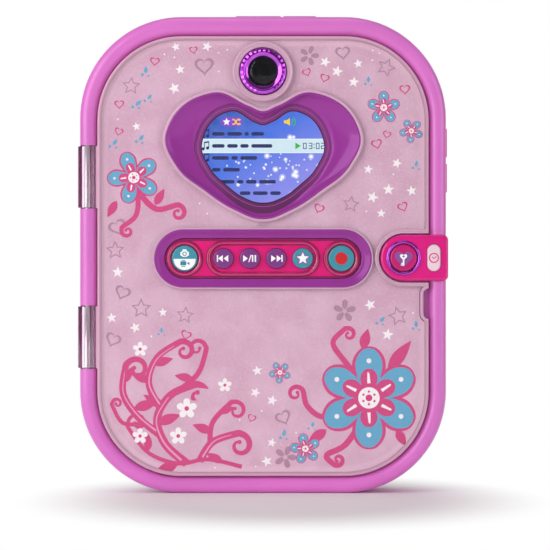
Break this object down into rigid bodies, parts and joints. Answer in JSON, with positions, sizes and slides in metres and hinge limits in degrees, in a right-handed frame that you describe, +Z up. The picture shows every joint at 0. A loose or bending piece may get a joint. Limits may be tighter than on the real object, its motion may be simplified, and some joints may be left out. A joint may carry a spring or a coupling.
{
  "type": "electronic diary",
  "caption": "Book-sized pink electronic diary with a hinged clear glitter cover, heart-shaped screen window, camera, push-button strip and side clasp.",
  "frame": {"origin": "centre of the footprint of the whole object, on the surface it stands on", "axes": "+Z up to the camera end, +X to the clasp side, front with the cover faces -Y"},
  "size_m": [0.175, 0.0466, 0.226],
  "materials": {
    "case_pink": "orchid pink moulded ABS, satin gloss",
    "clear_cover": "clear moulded cover, glossy",
    "glitter_print": "frosted pink glitter film with a printed design",
    "purple_plastic": "glossy purple plastic",
    "magenta_plastic": "glossy magenta plastic",
    "hot_pink_plastic": "glossy hot pink plastic",
    "teal_plastic": "glossy teal plastic",
    "purple_button": "glossy purple plastic",
    "pale_plastic": "pale pink plastic",
    "plated_purple": "purple vacuum-metallised plastic",
    "lens_black": "black glossy lens",
    "window_clear": "clear polished window",
    "screen": "lit colour screen",
    "steel": "plated steel",
    "rubber": "soft rubber",
    "silicone": "grey silicone",
    "board_green": "glass-epoxy circuit board",
    "black_plastic": "black plastic",
    "tray_pink": "pink moulded plastic",
    "paper": "paper",
    "card": "laminated card",
    "cell_can": "steel battery can"
  },
  "bodies": {
    "base": {"front_shell": "case_pink", "rear_shell": "case_pink", "battery_door": "case_pink", "battery_door_screw": "steel", "case_screws": "steel", "rear_feet": "rubber", "hinge_pin": "steel", "storage_tray": "tray_pink", "notebook_cover": "card", "notebook_pages": "paper", "pen_barrel": "hot_pink_plastic", "pen_cap": "purple_plastic", "aa_cells": "cell_can", "battery_contacts": "steel", "speaker": "black_plastic", "main_board": "board_green", "board_screws": "steel", "lcd_module": "screen", "lcd_frame": "black_plastic", "lcd_ribbon": "board_green", "microphone": "steel", "audio_jack": "black_plastic", "usb_socket": "steel", "camera_housing": "black_plastic", "camera_lens": "lens_black", "camera_ring": "plated_purple", "camera_board": "board_green", "button_panel": "magenta_plastic", "keypad_mat": "silicone", "button_board": "board_green", "clasp_housing": "hot_pink_plastic", "clasp_ring": "plated_purple", "clasp_board": "board_green", "latch_solenoid": "steel", "bolt_guide": "black_plastic", "side_switch_board": "board_green"},
    "cover": {"cover_shell": "clear_cover", "glitter_sheet": "glitter_print", "heart_bezel": "purple_plastic", "heart_window": "window_clear", "strip_bezel": "purple_plastic", "striker_plate": "steel"},
    "camera_button": {"camera_button": "teal_plastic"},
    "previous_button": {"previous_button": "purple_button"},
    "play_button": {"play_button": "purple_button"},
    "next_button": {"next_button": "purple_button"},
    "star_button": {"star_button": "teal_plastic"},
    "record_button": {"record_button": "teal_plastic"},
    "key_button": {"key_button": "magenta_plastic"},
    "clock_button": {"clock_button": "pale_plastic"},
    "side_button_lower": {"side_button_lower": "hot_pink_plastic"},
    "side_button_upper": {"side_button_upper": "hot_pink_plastic"},
    "jack_cover": {"jack_cover": "case_pink"},
    "usb_cover": {"usb_cover": "case_pink"},
    "latch_bolt": {"latch_bolt": "steel"}
  },
  "joints": [
    {"name": "cover_hinge", "type": "hinge", "parent": "base", "child": "cover", "pos_m": [-0.0829, -0.01575, 0.11145], "axis": [0, 0, -1], "range_deg": [0, 150]},
    {"name": "camera_button_press", "type": "slide", "parent": "base", "child": "camera_button", "axis": [0, 1, 0], "range_m": [0, 0.001], "stiffness_N_per_m": 600},
    {"name": "previous_button_press", "type": "slide", "parent": "base", "child": "previous_button", "axis": [0, 1, 0], "range_m": [0, 0.001], "stiffness_N_per_m": 600},
    {"name": "play_button_press", "type": "slide", "parent": "base", "child": "play_button", "axis": [0, 1, 0], "range_m": [0, 0.001], "stiffness_N_per_m": 600},
    {"name": "next_button_press", "type": "slide", "parent": "base", "child": "next_button", "axis": [0, 1, 0], "range_m": [0, 0.001], "stiffness_N_per_m": 600},
    {"name": "star_button_press", "type": "slide", "parent": "base", "child": "star_button", "axis": [0, 1, 0], "range_m": [0, 0.001], "stiffness_N_per_m": 600},
    {"name": "record_button_press", "type": "slide", "parent": "base", "child": "record_button", "axis": [0, 1, 0], "range_m": [0, 0.001], "stiffness_N_per_m": 600},
    {"name": "key_button_press", "type": "slide", "parent": "base", "child": "key_button", "axis": [0, 1, 0], "range_m": [0, 0.001], "stiffness_N_per_m": 600},
    {"name": "clock_button_press", "type": "slide", "parent": "base", "child": "clock_button", "axis": [0, 1, 0], "range_m": [0, 0.001], "stiffness_N_per_m": 600},
    {"name": "side_button_lower_press", "type": "slide", "parent": "base", "child": "side_button_lower", "axis": [-1, 0, 0], "range_m": [0, 0.0008], "stiffness_N_per_m": 600},
    {"name": "side_button_upper_press", "type": "slide", "parent": "base", "child": "side_button_upper", "axis": [-1, 0, 0], "range_m": [0, 0.0008], "stiffness_N_per_m": 600},
    {"name": "jack_cover_hinge", "type": "hinge", "parent": "base", "child": "jack_cover", "pos_m": [-0.0023, -0.00198, 0.22503], "axis": [-1, 0, 0], "range_deg": [0, 110]},
    {"name": "usb_cover_hinge", "type": "hinge", "parent": "base", "child": "usb_cover", "pos_m": [0.01735, -0.00198, 0.22503], "axis": [-1, 0, 0], "range_deg": [0, 110]},
    {"name": "latch_bolt_slide", "type": "slide", "parent": "base", "child": "latch_bolt", "axis": [0, 0, 1], "range_m": [0, 0.004]}
  ]
}
